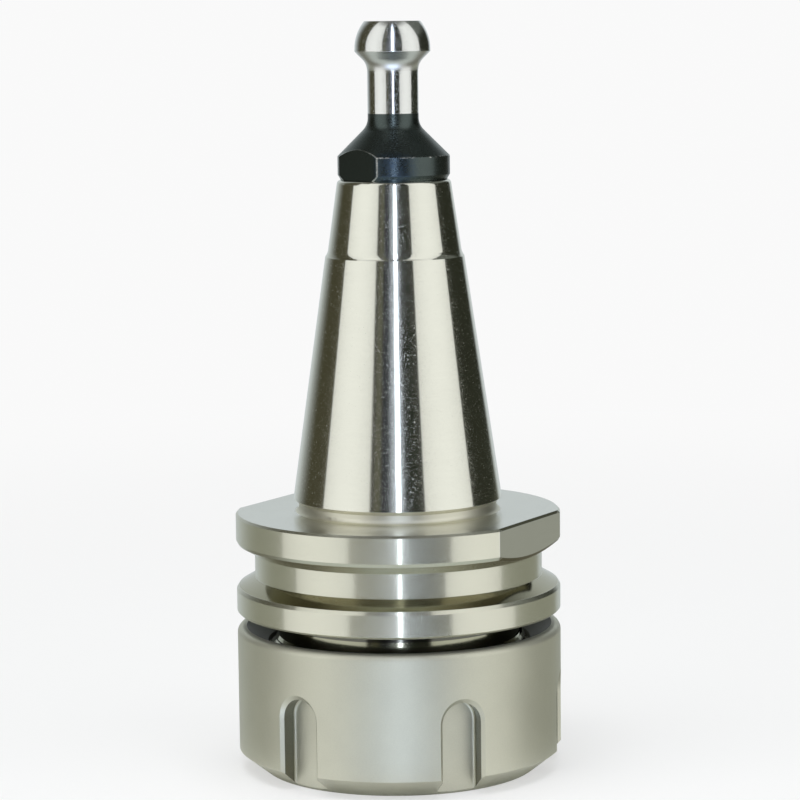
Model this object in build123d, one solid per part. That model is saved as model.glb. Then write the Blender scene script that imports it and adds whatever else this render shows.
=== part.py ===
from build123d import *
import os
from math import cos, hypot, radians, tan

# Collet chuck holder: a 7:24 taper of size 30 with a pull stud in its small end, a flange with a
# gripper groove, and a nut that draws a slit collet of size 32 into the socket of the nose.
# Millimetres. The axis is Z, and the holder stands on its nut's front face, at height 0.
# Angles round the axis count from -Y towards +X.

# Spring collet
collet_d = 33.0
collet_length = 40.0
collet_recess = 0.3
collet_cone_length = 4.0
collet_land = 1.2
collet_groove_width = 2.8
collet_groove_depth = 1.75
collet_edge = 0.5
tool_d = 12.0
grip_length = 30.0
bore_relief = 0.75
slit_pairs = 4
slit_width = 0.9
front_slit_web = 5.0
rear_slit_web = 1.5

# Tapers that collet, nut and nose share, as half angles, and the gap left at each seat
seat_angle = 30.0
socket_angle = 8.0
seat_gap = 0.05

# Thread of nose and nut. Both are turned to their core size, and the ridges are left off.
# The nose's wall goes from the collet's land out to the thread, and the nut's from there outwards.
nose_wall = 3.5
thread_pitch = 1.5

# Collet nut
nut_wall = 5.0
nut_height = 22.1
nut_chamfer_width = 3.8
nut_chamfer_height = 3.0
nut_back_round = 1.0
nut_mouth_edge = 0.4
slot_count = 6
slot_width = 6.2
slot_length = 14.3
slot_depth = 3.25
slot_floor_round = 0.35
slot_edge = 0.75
countersink_rim = 1.4
countersink_depth = 2.4
thread_setback = 3.3
thread_relief = 0.3
runout_length = 2.5
pocket_gap = 0.4
lip_thickness = 1.6
lip_reach = 1.05
lip_offset = 1.3

# Nose of the holder
nose_setback = 3.56
socket_mouth_edge = 0.4
socket_end_gap = 0.5
nose_chamfer = 1.0
undercut_length = 4.1
undercut_step = 0.42
undercut_lean = 5.0

# Flange, turned flush with the nut
nut_to_flange = 2.3
lower_rim = 3.9
upper_rim = 4.5
groove_floor_width = 3.7
groove_depth = 2.85
groove_flank_angle = 30.0
rim_edge = 0.35
flat_depth = 2.0
flats_turn = 38.0

# Taper shank
taper_ratio = 7 / 24
gauge_d = 31.75
gauge_height = 3.2
large_end_height = 2.07
taper_length = 47.65
neck_wall = 3.1
relief_round = 0.8
relief_shoulder = 0.64
land_length = 11.7
land_step = 0.3
land_step_angle = 35.0
land_cove = 1.8
small_end_round = 0.7

# Holes along the axis of the shank
drill_half_angle = 59.0
socket_shoulder = 1.75
hole_web = 2.3
stud_thread_d = 12.0
stud_thread_pitch = 1.75
stud_hole_depth = 22.7
pilot_d = 13.0
pilot_depth = 5.2
pilot_gap = 0.02
pilot_edge = 0.5

# Pull stud
pilot_length = 4.5
stud_shank_length = 20.0
stud_shank_edge = 1.0
stud_relief_length = 2.2
stud_relief = 0.5
wrench_across = 15.0
wrench_depth = 1.05
wrench_turn = -69.0
seat_edge = 0.45
seat_edge_height = 0.75
collar_height = 3.55
cone_angle = 45.0
neck_d = 7.75
neck_low_round = 2.6
neck_high_round = 2.5
head_d = 11.5
head_under_height = 19.3
head_land = 0.35
head_height = 23.85
head_top_d = 8.5
head_barrel_radius = 6.63

# Shares of the pitch that a metric thread takes off its outer radius, at its root and in its nut
root_share = 0.6134
bore_share = 0.5413

# Heights up from the nut's front face
collet_face = collet_recess
collet_land_low = collet_face + collet_cone_length
collet_groove_low = collet_land_low + collet_land
collet_taper_low = collet_groove_low + collet_groove_width
collet_rear = collet_face + collet_length
nose_face = collet_taper_low + nose_setback
socket_end = collet_rear + socket_end_gap
lip_low = collet_groove_low + (collet_groove_width - lip_thickness) / 2
lip_high = lip_low + lip_thickness
runout_high = lip_high + runout_length
thread_high = nut_height - thread_setback
flange_low = nut_height + nut_to_flange
undercut_low = flange_low - undercut_length
groove_flank = groove_depth * tan(radians(groove_flank_angle))
groove_low = flange_low + lower_rim
floor_low = groove_low + groove_flank
floor_high = floor_low + groove_floor_width
groove_high = floor_high + groove_flank
flange_high = groove_high + upper_rim
gauge_line = flange_high + gauge_height
large_end = flange_high + large_end_height
small_end = gauge_line + taper_length
land_low = small_end - land_length
stud_hole_end = small_end - stud_hole_depth

# Radii
collet_r = collet_d / 2
groove_root_r = collet_r - collet_groove_depth
pocket_r = collet_r + pocket_gap
thread_r = collet_r + nose_wall
nose_core_r = thread_r - root_share * thread_pitch
nut_bore_r = thread_r - bore_share * thread_pitch
thread_clear_r = thread_r + thread_relief
nut_r = thread_r + nut_wall
flange_r = nut_r
stud_core_r = stud_thread_d / 2 - root_share * stud_thread_pitch
stud_hole_r = stud_thread_d / 2 - bore_share * stud_thread_pitch
drill_slope = 1 / tan(radians(drill_half_angle))


def taper_r(height):
    return gauge_d / 2 - (height - gauge_line) * taper_ratio / 2


def collet_front_r(height):
    return collet_r - (collet_land_low - height) * tan(radians(seat_angle))


def collet_taper_r(height):
    return collet_r - (height - collet_taper_low) * tan(radians(socket_angle))


def seat_r(height):
    return collet_front_r(height) + seat_gap / cos(radians(seat_angle))


def socket_r(height):
    return collet_taper_r(height) + seat_gap / cos(radians(socket_angle))


def rounded(*corners, close=False):
    """A line through corners, each a (radius, height) or a (radius, height, round)."""
    points = [corner[:2] for corner in corners]
    rounds = [corner[2] if len(corner) > 2 else 0 for corner in corners]
    return FilletPolyline(*points, radius=rounds if close else rounds[1:-1], close=close)


def turned(outline):
    """A solid turned about the axis from a closed outline."""
    return revolve(Plane.XZ * make_face(outline), Axis.Z)


def spring_collet():
    bore_r = tool_d / 2
    relief_r = bore_r + bore_relief
    grip_end = collet_face + grip_length
    outline = rounded(
        (bore_r + collet_edge, collet_face),
        (collet_front_r(collet_face), collet_face),
        (collet_r, collet_land_low),
        (collet_r, collet_groove_low),
        (groove_root_r, collet_groove_low),
        (groove_root_r, collet_taper_low),
        (collet_r, collet_taper_low),
        (collet_taper_r(collet_rear - collet_edge), collet_rear - collet_edge),
        (collet_taper_r(collet_rear) - collet_edge, collet_rear),
        (relief_r, collet_rear),
        (relief_r, grip_end + bore_relief),
        (bore_r, grip_end),
        (bore_r, collet_face + collet_edge),
        close=True,
    )
    sleeve = turned(outline)
    # Saw cuts right across, from the two ends in turn, leave one springy piece
    front_cut = collet_length - front_slit_web
    rear_cut = collet_rear - collet_taper_low - rear_slit_web
    across = 2 * collet_d
    upward = (Align.CENTER, Align.CENTER, Align.MIN)
    downward = (Align.CENTER, Align.CENTER, Align.MAX)
    front_slit = Pos(Z=collet_face) * Box(across, slit_width, front_cut, align=upward)
    rear_slit = Pos(Z=collet_rear) * Box(across, slit_width, rear_cut, align=downward)
    step = 180 / slit_pairs
    for pair in range(slit_pairs):
        sleeve -= Rot(Z=pair * step) * front_slit
        sleeve -= Rot(Z=(pair + 0.5) * step) * rear_slit
    return sleeve


def spanner_slot():
    """A U-shaped slot with a rounded floor edge, open at the nut's front face, with broken edges."""
    floor_r = nut_r - slot_depth
    flare_r = nut_r - slot_edge
    end_r = slot_width / 2
    straight = slot_length - end_r
    outline = Pos(Y=straight) * Circle(end_r)
    outline += Pos(Y=straight) * Rectangle(
        slot_width, 2 * slot_length, align=(Align.CENTER, Align.MAX)
    )
    slot = extrude(Plane.XZ.offset(floor_r) * outline, 2 * slot_depth)
    floor = slot.faces().sort_by(Axis.Y)[-1]
    slot = fillet(floor.edges(), slot_floor_round)
    flare = extrude(Plane.XZ.offset(flare_r) * outline, 2 * slot_edge, taper=-45)
    return slot + flare


def collet_nut():
    mouth_r = seat_r(0)
    pocket_low = collet_land_low + (pocket_r - seat_r(collet_land_low)) / tan(radians(seat_angle))
    outline = rounded(
        (mouth_r + nut_mouth_edge, 0),
        (nut_r - nut_chamfer_width, 0),
        (nut_r, nut_chamfer_height),
        (nut_r, nut_height, nut_back_round),
        (nut_r - countersink_rim, nut_height),
        (thread_clear_r, nut_height - countersink_depth),
        (thread_clear_r, thread_high),
        (nut_bore_r, thread_high),
        (nut_bore_r, runout_high),
        (thread_clear_r, runout_high),
        (thread_clear_r, lip_high),
        (groove_root_r, lip_high),
        (groove_root_r, lip_low),
        (pocket_r, lip_low),
        (pocket_r, pocket_low),
        (seat_r(nut_mouth_edge), nut_mouth_edge),
        close=True,
    )
    nut = turned(outline)
    # The lip is bored off centre, so it reaches into the collet's groove on one side only
    lip_r = collet_r - lip_reach + lip_offset
    above_groove = (Align.CENTER, Align.CENTER, Align.MIN)
    nut -= Pos(Y=lip_offset, Z=lip_low) * Cylinder(lip_r, lip_thickness, align=above_groove)
    slot = spanner_slot()
    for place in range(slot_count):
        nut -= Rot(Z=place * 360 / slot_count) * slot
    return nut


def holder_body():
    floor_r = flange_r - groove_depth
    undercut_r = nose_core_r - undercut_step
    neck_r = undercut_r - (undercut_length - undercut_step) * tan(radians(undercut_lean))
    relief_r = socket_r(flange_high) + neck_wall
    rear_bore_r = socket_r(socket_end) - socket_shoulder
    rear_bore_tip = stud_hole_end - stud_hole_r * drill_slope - hole_web
    pilot_hole_r = pilot_d / 2 + pilot_gap
    pilot_low = small_end - pilot_depth
    step_high = land_low + land_step / (tan(radians(land_step_angle)) - taper_ratio / 2)
    outline = rounded(
        # Nose, thread core and undercut
        (socket_r(nose_face) + socket_mouth_edge, nose_face),
        (nose_core_r - nose_chamfer, nose_face),
        (nose_core_r, nose_face + nose_chamfer),
        (nose_core_r, undercut_low),
        (undercut_r, undercut_low + undercut_step),
        (neck_r, flange_low),
        # Flange with its gripper groove
        (flange_r - rim_edge, flange_low),
        (flange_r, flange_low + rim_edge),
        (flange_r, groove_low - rim_edge),
        (flange_r - rim_edge, groove_low + rim_edge * tan(radians(groove_flank_angle))),
        (floor_r, floor_low),
        (floor_r, floor_high),
        (flange_r, groove_high),
        (flange_r, flange_high),
        # Relief under the gauge line, taper, and the land that a cove leads in to near the small end
        (relief_r, flange_high, relief_round),
        (relief_r, large_end - relief_shoulder),
        (taper_r(large_end), large_end),
        (taper_r(land_low), land_low),
        (taper_r(step_high) - land_step, step_high, land_cove),
        (taper_r(small_end) - land_step, small_end, small_end_round),
        # Pilot and tapped hole for the stud
        (pilot_hole_r + pilot_edge, small_end),
        (pilot_hole_r, small_end - pilot_edge),
        (pilot_hole_r, pilot_low),
        (stud_hole_r, pilot_low),
        (stud_hole_r, stud_hole_end),
        (0, stud_hole_end - stud_hole_r * drill_slope),
        # Bore behind the socket, and the socket
        (0, rear_bore_tip),
        (rear_bore_r, rear_bore_tip - rear_bore_r * drill_slope),
        (rear_bore_r, socket_end),
        (socket_r(socket_end), socket_end),
        (socket_r(nose_face + socket_mouth_edge), nose_face + socket_mouth_edge),
        close=True,
    )
    body = turned(outline)
    # Spanner flats, across the upper rim only
    flat_low = (floor_low + floor_high) / 2
    flat = Pos(Y=flat_depth - flange_r, Z=flat_low) * Box(
        2 * flange_r,
        2 * flange_r,
        flange_high - flat_low,
        align=(Align.CENTER, Align.MAX, Align.MIN),
    )
    for turn in (flats_turn, flats_turn + 180):
        body -= Rot(Z=turn) * flat

    def runs_round_upper_rim(edge):
        middle = edge @ 0.5
        level = round((edge @ 0).Z - (edge @ 1).Z, 3) == 0
        outside = hypot(middle.X, middle.Y) > floor_r + rim_edge
        return level and outside and middle.Z > floor_high

    # The upper rim's edges are broken last, so that the break follows the flats too
    return chamfer(body.edges().filter_by(runs_round_upper_rim), rim_edge)


def pull_stud():
    seat = small_end
    core_r = stud_core_r
    pilot_r = pilot_d / 2
    neck_r = neck_d / 2
    head_r = head_d / 2
    collar_r = wrench_across / 2 + wrench_depth
    cone_slope = tan(radians(cone_angle))
    pilot_low = seat - pilot_length
    shank_low = seat - stud_shank_length
    cone_low = seat + collar_height
    cone_corner = cone_low + (collar_r - neck_r) * cone_slope
    under_high = seat + head_under_height
    under_corner = under_high - (head_r - neck_r) * cone_slope
    barrel_low = under_high + head_land
    head_top = seat + head_height
    edge = rounded(
        (0, shank_low),
        (core_r - stud_shank_edge, shank_low),
        (core_r, shank_low + stud_shank_edge),
        (core_r, pilot_low - stud_relief_length),
        (core_r - stud_relief, pilot_low - stud_relief_length + stud_relief),
        (core_r - stud_relief, pilot_low),
        (pilot_r, pilot_low),
        (pilot_r, seat),
        (collar_r - seat_edge, seat),
        (collar_r, seat + seat_edge_height),
        (collar_r, cone_low),
        (neck_r, cone_corner, neck_low_round),
        (neck_r, under_corner, neck_high_round),
        (head_r, under_high),
        (head_r, barrel_low),
    )
    barrel = RadiusArc((head_r, barrel_low), (head_top_d / 2, head_top), -head_barrel_radius)
    closing = Polyline((head_top_d / 2, head_top), (0, head_top), (0, shank_low))
    stud = turned(edge + barrel + closing)
    # Two flats for a wrench, milled across the collar and into the cone
    flat = Pos(Y=-wrench_across / 2, Z=seat) * Box(
        2 * collar_r,
        collar_r,
        cone_corner - seat,
        align=(Align.CENTER, Align.MAX, Align.MIN),
    )
    for turn in (wrench_turn, wrench_turn + 180):
        stud -= Rot(Z=turn) * flat
    return stud


pieces = {
    "holder_body": holder_body(),
    "pull_stud": pull_stud(),
    "collet_nut": collet_nut(),
    "spring_collet": spring_collet(),
}
os.makedirs("parts", exist_ok=True)
for name, piece in pieces.items():
    piece.label = name
    export_step(piece, f"parts/{name}.step")
    print(name, round(piece.volume), "mm3")
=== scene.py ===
import math
import bmesh
import bpy
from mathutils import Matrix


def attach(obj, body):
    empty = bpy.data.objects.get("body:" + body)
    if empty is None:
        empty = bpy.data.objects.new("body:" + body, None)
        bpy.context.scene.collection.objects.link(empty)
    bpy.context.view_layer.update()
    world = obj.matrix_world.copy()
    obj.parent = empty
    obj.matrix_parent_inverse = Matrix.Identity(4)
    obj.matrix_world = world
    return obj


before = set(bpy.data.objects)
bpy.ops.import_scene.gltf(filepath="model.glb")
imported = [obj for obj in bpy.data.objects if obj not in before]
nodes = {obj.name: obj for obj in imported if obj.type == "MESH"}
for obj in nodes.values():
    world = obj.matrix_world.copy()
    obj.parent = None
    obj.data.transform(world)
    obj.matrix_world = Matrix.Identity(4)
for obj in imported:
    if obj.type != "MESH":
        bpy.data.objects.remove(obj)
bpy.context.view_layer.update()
scene = bpy.context.scene
scene.view_settings.view_transform = "Standard"
mm = 0.001
print("stage: frame loaded")


class Field:
    # A shader value of one node tree, with maths written as on numbers
    def __init__(self, tree, socket=None):
        self.tree = tree
        self.socket = socket

    def node(self, kind, settings, links, output=0):
        made = self.tree.nodes.new(kind)
        for name, value in settings.items():
            setattr(made, name, value)
        for name, value in links.items():
            if isinstance(value, Field):
                self.tree.links.new(value.socket, made.inputs[name])
            else:
                made.inputs[name].default_value = value
        return Field(self.tree, made.outputs[output])

    def maths(self, operation, *values):
        return self.node("ShaderNodeMath", {"operation": operation}, dict(enumerate(values)))

    def __add__(self, other):
        return self.maths("ADD", self, other)

    def __radd__(self, other):
        return self.maths("ADD", other, self)

    def __sub__(self, other):
        return self.maths("SUBTRACT", self, other)

    def __rsub__(self, other):
        return self.maths("SUBTRACT", other, self)

    def __mul__(self, other):
        return self.maths("MULTIPLY", self, other)

    def __rmul__(self, other):
        return self.maths("MULTIPLY", other, self)

    def __truediv__(self, other):
        return self.maths("DIVIDE", self, other)

    def __rtruediv__(self, other):
        return self.maths("DIVIDE", other, self)

    def __pow__(self, other):
        return self.maths("POWER", self, other)

    def __rpow__(self, other):
        return self.maths("POWER", other, self)

    def __abs__(self):
        return self.maths("ABSOLUTE", self)

    def rise(self, low, high):
        # 0 up to low, 1 from high on, smooth between
        smooth = {"interpolation_type": "SMOOTHSTEP"}
        return self.node("ShaderNodeMapRange", smooth, {0: self, 1: low, 2: high})

    def band(self, low, high, soft):
        # 1 from low to high, with soft ends
        return self.rise(low - soft, low + soft) * (1 - self.rise(high - soft, high + soft))

    def between(self, low, high):
        # low where the value is 0 and high where it is 1
        return self * (high - low) + low

    def mixed(self, other, share):
        # This value by its share, and another by the rest
        return self * share + other * (1 - share)

    def tint(self, dark, light):
        # Colour from dark at 0 to light at 1
        ends = [end if isinstance(end, Field) else (*end, 1) for end in (dark, light)]
        links = {0: self, 6: ends[0], 7: ends[1]}
        return self.node("ShaderNodeMix", {"data_type": "RGBA"}, links, 2)

    def grain(self, scale, detail, roughness):
        links = {"Vector": self, "Scale": scale, "Detail": detail, "Roughness": roughness}
        return self.node("ShaderNodeTexNoise", {}, links)

    def stretched(self, x, y, z):
        return self.node("ShaderNodeVectorMath", {"operation": "MULTIPLY"}, {0: self, 1: (x, y, z)})

    def along(self, x, y, z):
        dot = {"operation": "DOT_PRODUCT"}
        return self.node("ShaderNodeVectorMath", dot, {0: self, 1: (x, y, z)}, "Value")

    def bump(self, strength, distance, normal=None):
        links = {"Height": self, "Strength": strength, "Distance": distance}
        if normal:
            links["Normal"] = normal
        return self.node("ShaderNodeBump", {}, links)


def metalMaterial(name):
    # A material, its shader node and the surface point in millimetres
    material = bpy.data.materials.new(name)
    material.use_nodes = True
    tree = material.node_tree
    shader = tree.nodes["Principled BSDF"]
    spot = Field(tree).node("ShaderNodeTexCoord", {}, {}, "Object")
    return material, shader, spot.stretched(1 / mm, 1 / mm, 1 / mm)


def places(spot):
    # x, y and height of a surface point
    axes = spot.node("ShaderNodeSeparateXYZ", {}, {0: spot}).socket.node
    return [Field(spot.tree, output) for output in axes.outputs]


def fromAxis(x, y):
    return (x * x + y * y) ** 0.5


def towards(x, y, degrees):
    # Distance along a direction that is given in degrees round from -Y towards +X
    turn = math.radians(degrees)
    return x * math.sin(turn) - y * math.cos(turn)


def feed(shader, **values):
    for name, value in values.items():
        socket = shader.inputs[name.replace("_", " ")]
        if isinstance(value, Field):
            value.tree.links.new(value.socket, socket)
        else:
            socket.default_value = value


groundSteel = {
    "taper": (0.80, 0.80, 0.725),  # colours
    "relief": (0.85, 0.83, 0.71),
    # lighter, cooler base of the flange's top face: painted reflection of the pale backdrop
    "top": (0.80, 0.80, 0.755),
    "flange": (0.745, 0.74, 0.637),
    # darker base in the groove: painted shade
    "groove": (0.42, 0.40, 0.29),
    "flat": (0.86, 0.86, 0.86),
    # painted shade: dark band at the flange's foot and on the top of the neck beneath it
    "under": (0.10, 0.10, 0.085),
    # darker base of the neck, in the gap under the flange: painted shade
    "neck": (0.37, 0.37, 0.275),
    "dull": (0.55, 0.54, 0.48),
    "dullShare": 0.12,
    "taperFoot": (41.83, 41.87),  # heights in millimetres over which the finish changes
    "reliefFoot": (39.81, 39.89),
    "flangeTop": (39.76, 39.78),
    "flatsFoot": (33.0, 34.0),
    "flangeFoot": (24.41, 24.43),
    "neckTop": (24.36, 24.38),
    "shadedNeck": (22.57, 22.67),
    "grooveWalls": (22.2, 24.6),  # distance from the axis
    "wallEdge": 0.03,
    "flatTurn": 38.0,  # degrees round from -Y towards +X, the way that a flat faces
    "flatAway": (22.98, 23.02),  # distance from the axis that way
    "flatEdge": 0.01,
    "polished": 0.06,  # roughness of the taper, of its scratches and of its nicks
    "scratched": 0.22,
    "nicked": 0.38,
    "relieved": 0.42,  # of the relief over the flange
    "turned": 0.24,  # of the flange's top
    "crisp": 0.09,  # least and most in the rims' fine grain
    "hazy": 0.46,
    "flank": 0.11,  # of the groove's flanks
    "milled": 0.12,  # of the spanner flats
    "neckGloss": 0.1,  # of the neck over the nut
    "ringStretch": (0.25, 0.25, 9.0),
    "ringGrain": (1.0, 3.0, 0.6),  # grains in a millimetre, detail and roughness of each noise
    "cloudGrain": (0.12, 2.0, 0.5),
    "fineGrain": (60.0, 2.0, 0.5),
    "nickGrain": (3.2, 3.0, 0.7),
    "speckGrain": (7.0, 2.0, 0.6),
    "ringShare": 0.5,  # of the rings in the worn patches, over the cloud
    "wornRise": (0.3, 0.7),  # values of a noise over which its mark comes in
    "hazeRise": (0.42, 0.62),
    "scratchRise": (0.54, 0.62),
    "nickRise": (0.66, 0.70),
    "speckRise": (0.635, 0.735),
    "speckShare": 0.4,  # of the specks' depth, off the taper
    "leanBump": (1.0, 0.00003),  # strength of each bump, and its depth in metres
    "speckBump": (1.0, 0.000005),
    "ringBump": (0.05, 0.00002),
    "nickBump": (0.25, 0.00001),
}


def makeGroundSteel(look):
    material, shader, spot = metalMaterial("groundSteel")
    x, y, z = places(spot)
    onTaper = z.rise(*look["taperFoot"])
    onRelief = z.rise(*look["reliefFoot"])
    aboveFlange = z.rise(*look["flangeTop"])
    onNeck = 1 - z.rise(*look["neckTop"])
    # Painted shade under the flange: a thin band at its foot and the top of the neck
    under = 1 - z.rise(*look["flangeFoot"]) - onNeck
    shaded = onNeck * z.rise(*look["shadedNeck"])
    inGroove = fromAxis(x, y).band(*look["grooveWalls"], look["wallEdge"])
    away = abs(towards(x, y, look["flatTurn"]))
    onFlat = away.band(*look["flatAway"], look["flatEdge"]) * z.rise(*look["flatsFoot"])
    rings = spot.stretched(*look["ringStretch"]).grain(*look["ringGrain"])
    cloud = spot.grain(*look["cloudGrain"])
    fine = spot.grain(*look["fineGrain"])
    nicks = spot.grain(*look["nickGrain"]).rise(*look["nickRise"])
    specks = spot.grain(*look["speckGrain"]).rise(*look["speckRise"])
    specks = specks * onTaper.between(look["speckShare"], 1.0)

    # the groove's darker base is painted shade
    shade = onFlat.tint(inGroove.tint(look["flange"], look["groove"]), look["flat"])
    # the top face's lighter base is a painted reflection of the backdrop
    shade = aboveFlange.tint(shade, onRelief.tint(look["top"], look["relief"]))
    # the neck's darker base is painted shade in the gap between flange and nut
    shade = onNeck.tint(onTaper.tint(shade, look["taper"]), look["neck"])
    # painted shade under the flange
    shade = (under + shaded).tint(shade, look["under"])
    worn = rings.mixed(cloud, look["ringShare"]).rise(*look["wornRise"])
    feed(shader, Metallic=1.0, Base_Color=(worn * look["dullShare"]).tint(shade, look["dull"]))

    rims = fine.rise(*look["hazeRise"]).between(look["crisp"], look["hazy"])
    gloss = onFlat.between(inGroove.between(rims, look["flank"]), look["milled"])
    gloss = aboveFlange.between(gloss, onRelief.between(look["turned"], look["relieved"]))
    ground = fine.rise(*look["scratchRise"]).between(look["polished"], look["scratched"])
    gloss = onTaper.between(gloss, nicks.between(ground, look["nicked"]))
    feed(shader, Roughness=onNeck.between(gloss, look["neckGloss"]))

    leaning = (onNeck * z * -1).bump(*look["leanBump"])  # the neck faces up a little
    ringed = rings.bump(*look["ringBump"], specks.bump(*look["speckBump"], leaning))
    feed(shader, Normal=nicks.bump(*look["nickBump"], ringed))
    return material


satinNickel = {
    "base": (0.70, 0.695, 0.58),  # colours
    "dull": (0.62, 0.615, 0.515),
    # painted shade on the slots' walls
    "wall": (0.19, 0.185, 0.14),
    # painted shade in the countersink
    "shadedInside": (0.105, 0.105, 0.075),
    "metallic": 0.82,
    "satin": (0.40, 0.48),  # least and most roughness outside
    "milled": 0.24,  # of the slots' walls
    "bored": 0.42,  # of the countersink
    "fineGrain": (5.5, 3.0, 0.65),  # grains in a millimetre, detail and roughness of each noise
    "cloudGrain": (0.1, 3.0, 0.5),
    "fineShare": 0.4,  # of the fine noise in the colour, over the cloud
    "dullRise": (0.25, 0.75),
    "fineBump": (0.12, 0.00003),  # strength, and depth in metres
    "slots": 6,
    "slotHalf": (3.05, 3.15),  # millimetres from a slot's middle line to its walls
    "slotEdge": 0.02,
    "straight": 11.2,  # height where its round end begins
    "wallAway": (22.08, 24.25),  # distance of the walls from the axis
    "wallEdge": 0.03,
    "threadTop": (18.8, 19.0),  # height where the countersink begins
    "countersink": (23.55, 23.6),  # distance from the axis where it ends
}


def makeSatinNickel(look):
    material, shader, spot = metalMaterial("satinNickel")
    x, y, z = places(spot)
    radius = fromAxis(x, y)
    fine = spot.grain(*look["fineGrain"])
    cloud = spot.grain(*look["cloudGrain"])
    # Place across the nearest slot, and distance from the middle line that its walls follow
    share = math.pi / look["slots"]
    turn = x.maths("WRAP", x.maths("ARCTAN2", x, y * -1), share, -share)
    across = radius * turn.maths("SINE", turn)
    away = radius * turn.maths("COSINE", turn)
    above = z.maths("MAXIMUM", z - look["straight"], 0.0)
    beside = (across * across + above * above) ** 0.5
    onWall = beside.band(*look["slotHalf"], look["slotEdge"])
    onWall = onWall * away.band(*look["wallAway"], look["wallEdge"])
    # Painted shade in the countersink
    shadedInside = z.rise(*look["threadTop"]) * (1 - radius.rise(*look["countersink"]))

    mottle = fine.mixed(cloud, look["fineShare"]).rise(*look["dullRise"])
    # Painted shade on the slots' walls
    shade = onWall.tint(mottle.tint(look["dull"], look["base"]), look["wall"])
    feed(shader, Metallic=look["metallic"], Base_Color=shadedInside.tint(shade, look["shadedInside"]))
    gloss = onWall.between(cloud.between(*look["satin"]), look["milled"])
    feed(shader, Roughness=shadedInside.between(gloss, look["bored"]))
    feed(shader, Normal=fine.bump(*look["fineBump"]))
    return material


studSteel = {
    "oxide": (0.084, 0.104, 0.101),  # colours
    # painted bluish sheen on the collar's side towards the camera
    "bluishSheen": (0.068, 0.099, 0.137),
    "bright": (0.78, 0.79, 0.78),
    "rubbed": (0.72, 0.73, 0.72),
    "rubbedShare": 0.8,
    "oxideTop": (100.54, 100.66),  # heights in millimetres
    "coneFoot": (94.07, 94.31),
    "footEdge": 0.04,
    "archFade": (94.69, 95.29),  # over which a wrench flat's rubbed edge fades to a share
    "archShare": 0.3,
    "underHead": (106.9, 110.0),
    "underEdge": 0.5,
    "flatTurn": -69.0,  # degrees round from -Y towards +X
    "flatAway": (7.48, 7.52),  # distance from the axis
    "flatEdge": 0.01,
    "rubAway": (7.34, 7.5),
    "rubEdge": 0.03,
    "sheenTurn": -24.0,
    "sheenAway": (7.4, 8.4),
    "matt": (0.27, 0.33),  # least and most roughness of the oxide
    "flatMatt": 0.19,  # of the wrench flats
    "ground": 0.10,  # of neck and head
    "turned": 0.30,  # of the head's underside
    "coarseGrain": (0.5, 3.0, 0.5),  # grains in a millimetre, detail and roughness of each noise
    "fineGrain": (3.0, 3.0, 0.5),
    "speckGrain": (7.0, 2.0, 0.6),
    "ringGrain": (1.0, 3.0, 0.6),
    "ringStretch": (0.3, 0.3, 9.0),
    "patchShare": 0.6,  # of the coarse noise, over the fine one
    "mottleShare": 0.4,
    "patchRise": (0.48, 0.62),  # values of a noise over which its mark comes in
    "mottleRise": (0.42, 0.66),
    "speckRise": (0.58, 0.72),
    "leastRub": 0.6,  # on the edges of the flats
    "leastSheen": 0.5,
    "eased": 0.12,  # millimetres, radius of the worn edges
    "speckBump": (1.0, 0.000006),  # strength of each bump, and its depth in metres
    "ringBump": (0.05, 0.00002),
    "fineBump": (0.08, 0.00003),
}


def makeStudSteel(look):
    material, shader, spot = metalMaterial("studSteel")
    x, y, z = places(spot)
    onBright = z.rise(*look["oxideTop"])
    under = z.band(*look["underHead"], look["underEdge"])
    coarse = spot.grain(*look["coarseGrain"])
    fine = spot.grain(*look["fineGrain"])
    rings = spot.stretched(*look["ringStretch"]).grain(*look["ringGrain"])
    patchy = coarse.mixed(fine, look["patchShare"]).rise(*look["patchRise"])
    mottle = coarse.mixed(fine, look["mottleShare"]).rise(*look["mottleRise"])
    specks = onBright * (1 - under) * spot.grain(*look["speckGrain"]).rise(*look["speckRise"])

    # The oxide is rubbed off the cone's foot and the edges of the wrench flats
    away = abs(towards(x, y, look["flatTurn"]))
    onFlat = away.band(*look["flatAway"], look["flatEdge"])
    onFoot = z.band(*look["coneFoot"], look["footEdge"])
    onEdge = away.band(*look["rubAway"], look["rubEdge"])
    onEdge = onEdge * z.rise(*look["archFade"]).between(1.0, look["archShare"])
    rub = (onFoot * patchy + onEdge * patchy.between(look["leastRub"], 1.0)) * (1 - onFlat)
    # Painted bluish sheen on the side of the collar towards the camera, mottled
    sheen = towards(x, y, look["sheenTurn"]).rise(*look["sheenAway"])
    sheen = sheen * mottle.between(look["leastSheen"], 1.0)
    oxide = sheen.tint(look["oxide"], look["bluishSheen"])
    shade = (rub * look["rubbedShare"]).tint(oxide, look["rubbed"])
    feed(shader, Metallic=1.0, Base_Color=onBright.tint(shade, look["bright"]))

    matt = onFlat.between(mottle.between(*look["matt"]), look["flatMatt"])
    feed(shader, Roughness=onBright.between(matt, under.between(look["ground"], look["turned"])))
    eased = spot.node("ShaderNodeBevel", {}, {"Radius": look["eased"] * mm})
    ringed = rings.bump(*look["ringBump"], specks.bump(*look["speckBump"], eased))
    feed(shader, Normal=fine.bump(*look["fineBump"], ringed))
    return material


colletSteel = {
    "base": (0.70, 0.70, 0.69),
    "dull": (0.55, 0.55, 0.54),
    "ground": (0.18, 0.3),  # least and most roughness
    "ringStretch": (0.3, 0.3, 7.0),
    "ringGrain": (1.0, 3.0, 0.6),  # grains in a millimetre, detail and roughness of the noise
    "ringRise": (0.3, 0.7),
    "ringBump": (0.08, 0.00003),  # strength, and depth in metres
}


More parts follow.
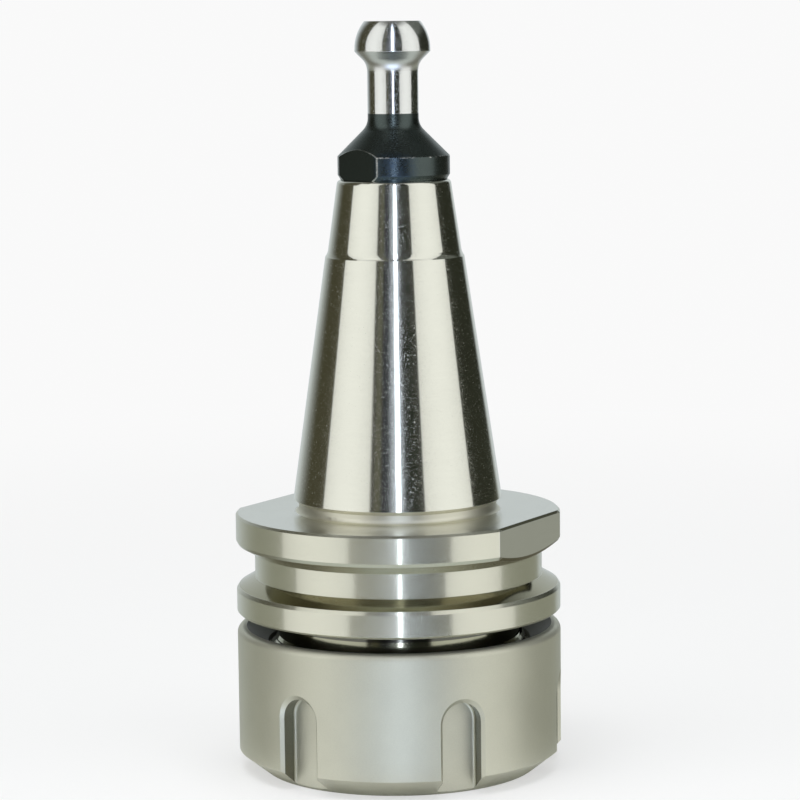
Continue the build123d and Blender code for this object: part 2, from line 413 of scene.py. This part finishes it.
def makeColletSteel(look):
    material, shader, spot = metalMaterial("colletSteel")
    rings = spot.stretched(*look["ringStretch"]).grain(*look["ringGrain"])
    shade = rings.rise(*look["ringRise"]).tint(look["dull"], look["base"])
    feed(shader, Metallic=1.0, Base_Color=shade)
    feed(shader, Roughness=rings.between(*look["ground"]), Normal=rings.bump(*look["ringBump"]))
    return material


def dress(node, material):
    mesh = nodes[node].data
    mesh.materials.clear()
    mesh.materials.append(material)
    for polygon in mesh.polygons:
        polygon.use_smooth = True


steel = makeGroundSteel(groundSteel)
dress("holder_body", steel)
dress("pull_stud", makeStudSteel(studSteel))
dress("collet_nut", makeSatinNickel(satinNickel))
dress("spring_collet", makeColletSteel(colletSteel))
print("stage: materials")

noseThread = {
    "pitch": 1.5,  # millimetres
    "root": 19.06,  # distance from the axis
    "crest": 19.92,
    "low": 12.7,  # heights
    "high": 20.4,
    "rootHalf": 0.66,  # half of the ridge's width
    "crestHalf": 0.12,
    "fade": 0.45,  # turns over which the ridge rises at each end
    "steps": 72,  # a turn
}


def makeNoseThread(look, material):
    turns = (look["high"] - look["low"]) / look["pitch"]
    count = int(turns * look["steps"])
    form = bmesh.new()
    rows = []
    for step in range(count + 1):
        turn = step / look["steps"]
        angle = 2 * math.pi * turn
        height = look["low"] + turn * look["pitch"]
        grown = min(1.0, turn / look["fade"], (turns - turn) / look["fade"])
        crest = look["root"] + (look["crest"] - look["root"]) * max(0.0, grown)
        section = (
            (look["root"], -look["rootHalf"]),
            (crest, -look["crestHalf"]),
            (crest, look["crestHalf"]),
            (look["root"], look["rootHalf"]),
        )
        row = []
        for radius, rise in section:
            x = radius * math.cos(angle) * mm
            y = radius * math.sin(angle) * mm
            row.append(form.verts.new((x, y, (height + rise) * mm)))
        rows.append(row)
    for before, after in zip(rows, rows[1:]):
        for side in range(len(before) - 1):
            form.faces.new((before[side], after[side], after[side + 1], before[side + 1]))
    mesh = bpy.data.meshes.new("noseThread")
    form.to_mesh(mesh)
    form.free()
    mesh.materials.append(material)
    piece = bpy.data.objects.new("noseThread", mesh)
    scene.collection.objects.link(piece)
    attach(piece, "holder")


makeNoseThread(noseThread, steel)
print("stage: nose thread")

studio = {
    "facing": -22.0,  # degrees round the object from -Y towards +X, the way to the camera
    "front": (0.036, 0.039, 0.044),
    "panels": [  # degrees to the right of that way, drawn in turn; fall is the edges' loss
        {"left": -34.0, "right": -27.0, "soft": 2.0, "fall": 0.0, "colour": (0.05, 0.048, 0.04)},
        {"left": -26.5, "right": -19.0, "soft": 2.5, "fall": 0.0, "colour": (0.11, 0.108, 0.075)},
        {"left": 7.0, "right": 30.0, "soft": 3.0, "fall": 0.0, "colour": (0.026, 0.028, 0.021)},
        {"left": -90.0, "right": -31.0, "soft": 2.0, "fall": 0.16, "colour": (1.02, 1.03, 1.0)},
        {"left": 30.0, "right": 91.0, "soft": 1.2, "fall": 0.16, "colour": (1.02, 1.03, 1.0)},
        {"left": -160.0, "right": -90.0, "soft": 1.2, "fall": 0.0, "colour": (0.064, 0.06, 0.036)},
        {"left": 91.0, "right": 160.0, "soft": 1.2, "fall": 0.0, "colour": (0.026, 0.028, 0.019)},
    ],
    "level": (-0.14, -0.04),  # heights of a direction, from -1 to 1, under which the low panels lie
    "lowPanels": [
        {"left": -35.1, "right": 0.0, "soft": 2.0, "colour": (0.23, 0.215, 0.15)},
        {"left": 0.0, "right": 37.2, "soft": 2.0, "colour": (0.055, 0.05, 0.02)},
    ],
    "footRise": (-0.17, 0.1),  # heights over which skirt and strip grow from their foot
    "skirt": {
        "middle": -0.8,
        "inner": 3.0,
        "outer": 11.5,
        "foot": 0.2,  # share of its light at the foot
        "colour": (0.36, 0.39, 0.44),
    },
    "strip": {
        "middle": 1.0,
        "half": 2.0,  # of its width
        "foot": 1.0,  # the same at the foot
        "soft": 0.7,  # share of that half
        "colour": (6.2, 6.8, 8.2),
    },
    "sides": (88.0, 92.0),  # degrees to either side where the front ends
    "lowSides": (0.31, 0.32, 0.26),  # light from beside the table
    "highRight": (0.13, 0.14, 0.125),  # high up behind, on the right
    "highRise": (0.3, 0.5),
    "backdrop": {
        "left": (-164.5, -116.5),  # degrees over which it begins and ends
        "right": (143.0, 157.0),
        "colour": (0.62, 0.67, 0.68),
    },
    "zenith": (0.14, 0.14, 0.13),
    "zenithRise": (0.78, 0.98),
    "glow": (1.45, 1.68, 2.1),  # of the table in front
    "glowTurn": (12.0, 45.0),  # degrees to either side where it ends
    "glowRise": (-0.38, -0.22),
    "nearGround": (0.55, 0.55, 0.52),
    "ground": (0.17, 0.165, 0.13),
    "groundTurn": (45.0, 85.0),
    "groundRise": (-0.5, -0.25),
    "below": (0.55, 0.59, 0.55),
    "belowRise": (-0.8, -0.6),
    "seen": (0.95, 0.95, 0.95),  # plain white behind the object
}


def makeWorld(look):
    world = bpy.data.worlds.new("studio")
    scene.world = world
    world.use_nodes = True
    tree = world.node_tree
    way = Field(tree).node("ShaderNodeTexCoord", {}, {}, "Generated")
    facing = math.radians(look["facing"])
    ahead = way.along(math.sin(facing), -math.cos(facing), 0)
    aside = way.along(math.cos(facing), math.sin(facing), 0)
    height = way.along(0, 0, 1)
    turn = aside.maths("ARCTAN2", aside, ahead) * math.degrees(1)
    swing = abs(turn)
    shade = look["front"]
    for panel in look["panels"]:
        middle = (panel["left"] + panel["right"]) / 2
        half = (panel["right"] - panel["left"]) / 2
        out = (turn - middle) / half
        lit = turn.band(panel["left"], panel["right"], panel["soft"])
        edge = [value * (1 - panel["fall"]) for value in panel["colour"]]
        shade = lit.tint(shade, (out * out).tint(panel["colour"], edge))
    beneath = 1 - height.rise(*look["level"])
    for panel in look["lowPanels"]:
        lit = turn.band(panel["left"], panel["right"], panel["soft"]) * beneath
        shade = lit.tint(shade, panel["colour"])

    # A narrow bright strip in front, in the middle of a dim skirt
    lift = height.rise(*look["footRise"])
    skirt = look["skirt"]
    lit = 1 - abs(turn - skirt["middle"]).rise(skirt["inner"], skirt["outer"])
    shade = (lit * lift.between(skirt["foot"], 1.0)).tint(shade, skirt["colour"])
    strip = look["strip"]
    reach = abs(turn - strip["middle"]) / lift.between(strip["foot"], strip["half"])
    shade = reach.rise(1 - strip["soft"], 1 + strip["soft"]).tint(strip["colour"], shade)

    shade = (swing.rise(*look["sides"]) * beneath).tint(shade, look["lowSides"])
    high = turn.rise(*look["sides"]) * height.rise(*look["highRise"])
    shade = high.tint(shade, look["highRight"])
    back = look["backdrop"]
    behind = 1 - turn.rise(*back["left"]) + turn.rise(*back["right"])
    shade = behind.tint(shade, back["colour"])
    shade = height.rise(*look["zenithRise"]).tint(shade, look["zenith"])

    # The table: bright in front, dim beside, and paler straight below
    past = swing.rise(*look["glowTurn"])
    near = (1 - past) * (1 - height.rise(*look["glowRise"]))
    shade = near.tint(shade, look["glow"])
    ground = swing.rise(*look["groundTurn"]).tint(look["nearGround"], look["ground"])
    ground = height.rise(*look["belowRise"]).tint(look["below"], past.tint(look["glow"], ground))
    shade = height.rise(*look["groundRise"]).tint(ground, shade)
    seen = way.node("ShaderNodeLightPath", {}, {}, "Is Camera Ray")
    shade = seen.tint(shade, look["seen"])
    tree.links.new(shade.socket, tree.nodes["Background"].inputs["Color"])


makeWorld(studio)
print("stage: studio light")

lamp = {
    "place": (-0.12, -0.15, 0.9),
    "tilt": (-9.0, -7.0, 0.0),  # degrees about the axes
    "size": 0.7,
    "watts": 6.0,
}


def makeLamp(look):
    light = bpy.data.lights.new("softbox", "AREA")
    light.size = look["size"]
    light.energy = look["watts"]
    piece = bpy.data.objects.new("softbox", light)
    piece.location = look["place"]
    piece.rotation_euler = [math.radians(angle) for angle in look["tilt"]]
    piece.visible_glossy = False
    scene.collection.objects.link(piece)


makeLamp(lamp)
print("stage: lamp")

floor = {
    "half": 6.0,
    "colour": (0.9, 0.9, 0.9),
    "glow": 0.95,
    "share": 0.55,  # least share of plain white, up to near, which rises to all at far
    "near": 0.07,
    "far": 0.42,
    "mirrorNear": 0.027,  # the steel reflects only the floor round its foot
    "mirrorFar": 0.036,
}


def makeFloor(look):
    half = look["half"]
    mesh = bpy.data.meshes.new("floor")
    corners = [(-half, -half, 0), (half, -half, 0), (half, half, 0), (-half, half, 0)]
    mesh.from_pydata(corners, [], [(0, 1, 2, 3)])
    piece = bpy.data.objects.new("floor", mesh)
    scene.collection.objects.link(piece)
    material = bpy.data.materials.new("paleFloor")
    material.use_nodes = True
    tree = material.node_tree
    tree.nodes.remove(tree.nodes["Principled BSDF"])
    start = Field(tree)
    spot = start.node("ShaderNodeTexCoord", {}, {}, "Object")
    away = spot.node("ShaderNodeVectorMath", {"operation": "LENGTH"}, {0: spot}, "Value")
    seen = start.node("ShaderNodeLightPath", {}, {}, "Is Camera Ray")
    shiny = Field(tree, seen.socket.node.outputs["Is Glossy Ray"])
    matt = start.node("ShaderNodeBsdfDiffuse", {}, {"Color": (*look["colour"], 1)})
    white = {"Color": (1, 1, 1, 1), "Strength": look["glow"]}
    glow = start.node("ShaderNodeEmission", {}, white)
    clear = start.node("ShaderNodeBsdfTransparent", {}, {})
    share = away.rise(look["near"], look["far"]).between(look["share"], 1.0) * seen
    lit = start.node("ShaderNodeMixShader", {}, {0: share, 1: matt, 2: glow})
    gone = shiny * away.rise(look["mirrorNear"], look["mirrorFar"])
    both = start.node("ShaderNodeMixShader", {}, {0: gone, 1: lit, 2: clear})
    tree.links.new(both.socket, tree.nodes["Material Output"].inputs["Surface"])
    mesh.materials.append(material)
    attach(piece, "collet")


makeFloor(floor)
print("stage: floor")

photoCamera = {
    "azimuth": -22.0,  # degrees round the object from -Y towards +X
    "distance": 0.45,  # metres from the axis
    "height": 0.1135,
    "down": 7.19,  # degrees
    "yaw": -0.068,
    "roll": -0.67,
    "lens": 132.885,  # millimetres
    "sensor": 36.0,
    "clip": 0.01,  # metres
}


def makeCamera(look):
    data = bpy.data.cameras.new("photoCamera")
    data.lens = look["lens"]
    data.sensor_width = look["sensor"]
    data.clip_start = look["clip"]
    piece = bpy.data.objects.new("photoCamera", data)
    turn = math.radians(look["azimuth"])
    distance = look["distance"]
    piece.location = (math.sin(turn) * distance, -math.cos(turn) * distance, look["height"])
    heading = turn + math.radians(look["yaw"])
    piece.rotation_euler = (math.radians(90 - look["down"]), 0, heading)
    piece.rotation_euler.rotate_axis("Z", math.radians(look["roll"]))
    scene.collection.objects.link(piece)
    scene.camera = piece


makeCamera(photoCamera)
print("stage: camera")
